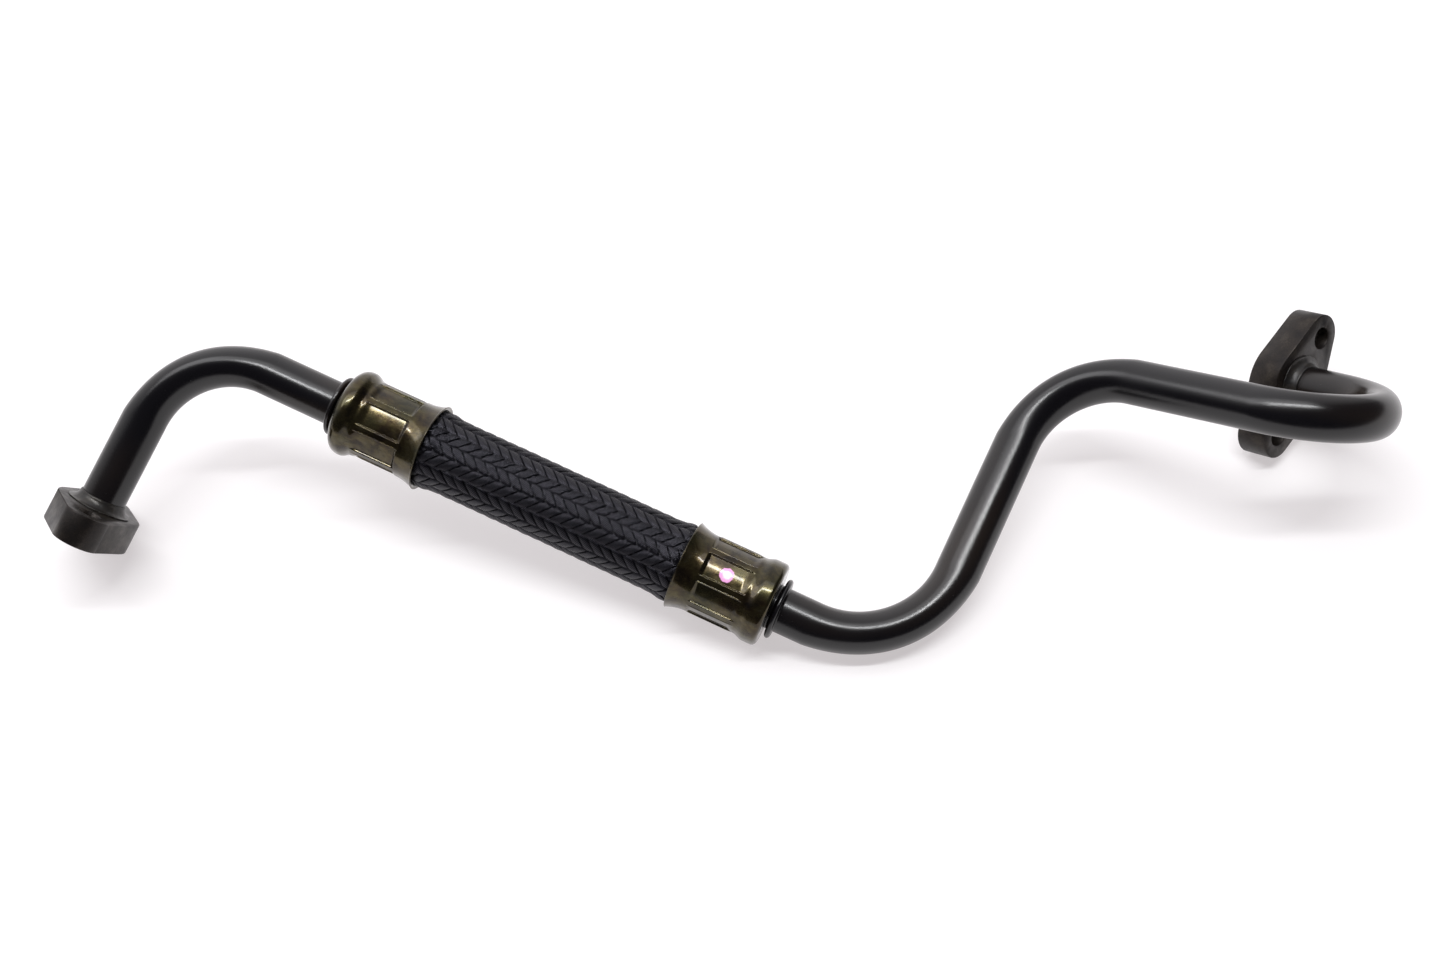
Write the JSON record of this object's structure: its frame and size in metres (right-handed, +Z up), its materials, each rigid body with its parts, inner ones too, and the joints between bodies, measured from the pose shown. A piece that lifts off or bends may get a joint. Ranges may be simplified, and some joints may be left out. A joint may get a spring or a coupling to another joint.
{
  "type": "oil cooler line",
  "caption": "Rigid and flexible oil cooler line: bent black steel tubes joined by a short braided hose with crimped ferrules, with a bolt-on flange block at each end.",
  "frame": {"origin": "bottom centre of the bounding box, on the surface that the line lies on", "axes": "+X along the line's longest extent, from the cooler end to the engine end; +Z up from that surface"},
  "size_m": [0.4176, 0.1078, 0.0613],
  "materials": {
    "tube_coating": "satin black coated steel",
    "flange_phosphate": "dark phosphated steel",
    "ferrule_plating": "olive yellow passivated plating, glossy and mottled",
    "hose_rubber": "matt black rubber",
    "seal_rubber": "smooth black rubber",
    "hose_textile": "black herringbone braid"
  },
  "bodies": {
    "root": {"cooler_flange": "flange_phosphate", "cooler_flange_seal": "seal_rubber", "cooler_flange_braze": "flange_phosphate", "cooler_tube": "tube_coating", "cooler_ferrule": "ferrule_plating", "hose_liner": "hose_rubber", "hose_reinforcement": "hose_textile", "hose_cover": "hose_rubber", "hose_braid": "hose_textile", "engine_ferrule": "ferrule_plating", "engine_tube": "tube_coating", "engine_flange_braze": "flange_phosphate", "engine_flange": "flange_phosphate", "engine_flange_seal": "seal_rubber"}
  },
  "joints": []
}
